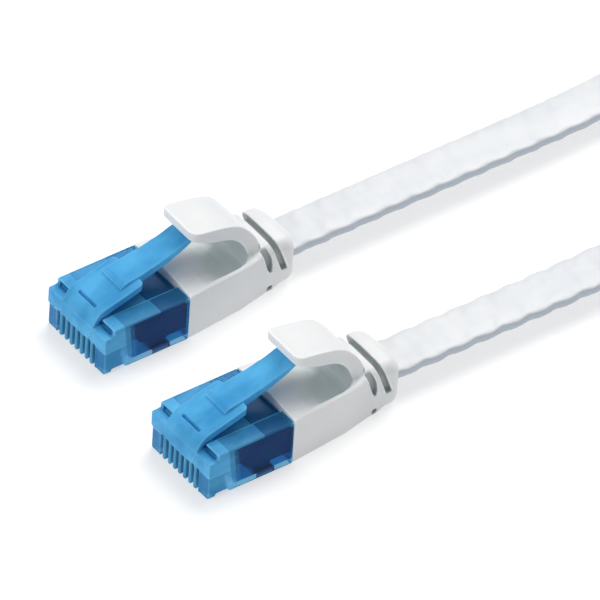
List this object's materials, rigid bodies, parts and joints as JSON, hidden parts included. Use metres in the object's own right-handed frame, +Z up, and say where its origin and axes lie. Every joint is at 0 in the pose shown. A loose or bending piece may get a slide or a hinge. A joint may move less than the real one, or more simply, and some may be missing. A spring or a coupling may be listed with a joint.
{
  "type": "ethernet patch cable",
  "caption": "Flat white network patch cable with a clear blue 8P8C plug, latch lever, slotted boot and latch guard at each end, the rest folded into a tied hank.",
  "frame": {"origin": "on the floor under the middle of the two plugs, without the cable", "axes": "+Z up, the plugs' noses point along -Y, plug a is on the -X side and plug b on the +X side"},
  "size_m": [0.0543, 0.1789, 0.0135],
  "materials": {
    "clear_blue_plug": "gloss",
    "load_bar_plastic": "satin",
    "navy_insert": "satin",
    "white_boot": "matte",
    "gold_contact": "polished",
    "cable_jacket": "satin",
    "twist_tie": "matte",
    "wire_white_orange": "satin",
    "wire_orange": "satin",
    "wire_white_green": "satin",
    "wire_blue": "satin",
    "wire_white_blue": "satin",
    "wire_green": "satin",
    "wire_white_brown": "satin",
    "wire_brown": "satin"
  },
  "bodies": {
    "root": {"plug_housing_a": "clear_blue_plug", "wire_guide_a": "load_bar_plastic", "pair_manager_a": "navy_insert", "boot_shell_a": "white_boot", "contact_a1": "gold_contact", "wire_a1_white_orange": "wire_white_orange", "contact_a2": "gold_contact", "wire_a2_orange": "wire_orange", "contact_a3": "gold_contact", "wire_a3_white_green": "wire_white_green", "contact_a4": "gold_contact", "wire_a4_blue": "wire_blue", "contact_a5": "gold_contact", "wire_a5_white_blue": "wire_white_blue", "contact_a6": "gold_contact", "wire_a6_green": "wire_green", "contact_a7": "gold_contact", "wire_a7_white_brown": "wire_white_brown", "contact_a8": "gold_contact", "wire_a8_brown": "wire_brown", "plug_housing_b": "clear_blue_plug", "wire_guide_b": "load_bar_plastic", "pair_manager_b": "navy_insert", "boot_shell_b": "white_boot", "contact_b1": "gold_contact", "wire_b1_white_orange": "wire_white_orange", "contact_b2": "gold_contact", "wire_b2_orange": "wire_orange", "contact_b3": "gold_contact", "wire_b3_white_green": "wire_white_green", "contact_b4": "gold_contact", "wire_b4_blue": "wire_blue", "contact_b5": "gold_contact", "wire_b5_white_blue": "wire_white_blue", "contact_b6": "gold_contact", "wire_b6_green": "wire_green", "contact_b7": "gold_contact", "wire_b7_white_brown": "wire_white_brown", "contact_b8": "gold_contact", "wire_b8_brown": "wire_brown", "cable_lead_a": "cable_jacket", "cable_lead_b": "cable_jacket", "cable_hank": "cable_jacket", "hank_tie": "twist_tie"},
    "lever_a": {"latch_lever_a": "clear_blue_plug"},
    "guard_a": {"latch_guard_a": "white_boot"},
    "lever_b": {"latch_lever_b": "clear_blue_plug"},
    "guard_b": {"latch_guard_b": "white_boot"}
  },
  "joints": [
    {"name": "guard_press_a", "type": "hinge", "parent": "root", "child": "guard_a", "pos_m": [-0.01232, 0.01, 0.007], "axis": [1, 0, 0], "range_deg": [0, 8], "stiffness_Nm_per_rad": 0.004},
    {"name": "lever_press_a", "type": "hinge", "parent": "root", "child": "lever_a", "pos_m": [-0.01232, -0.0121, 0.0064], "axis": [1, 0, 0], "range_deg": [-6.8, 0]},
    {"name": "guard_press_b", "type": "hinge", "parent": "root", "child": "guard_b", "pos_m": [0.01232, 0.0074, 0.007], "axis": [1, 0, 0], "range_deg": [0, 8], "stiffness_Nm_per_rad": 0.004},
    {"name": "lever_press_b", "type": "hinge", "parent": "root", "child": "lever_b", "pos_m": [0.01232, -0.0147, 0.0064], "axis": [1, 0, 0], "range_deg": [-6.8, 0]}
  ],
  "couplings": [
    {"joint": "lever_press_a", "follows": "guard_press_a", "ratio": -0.85},
    {"joint": "lever_press_b", "follows": "guard_press_b", "ratio": -0.85}
  ]
}
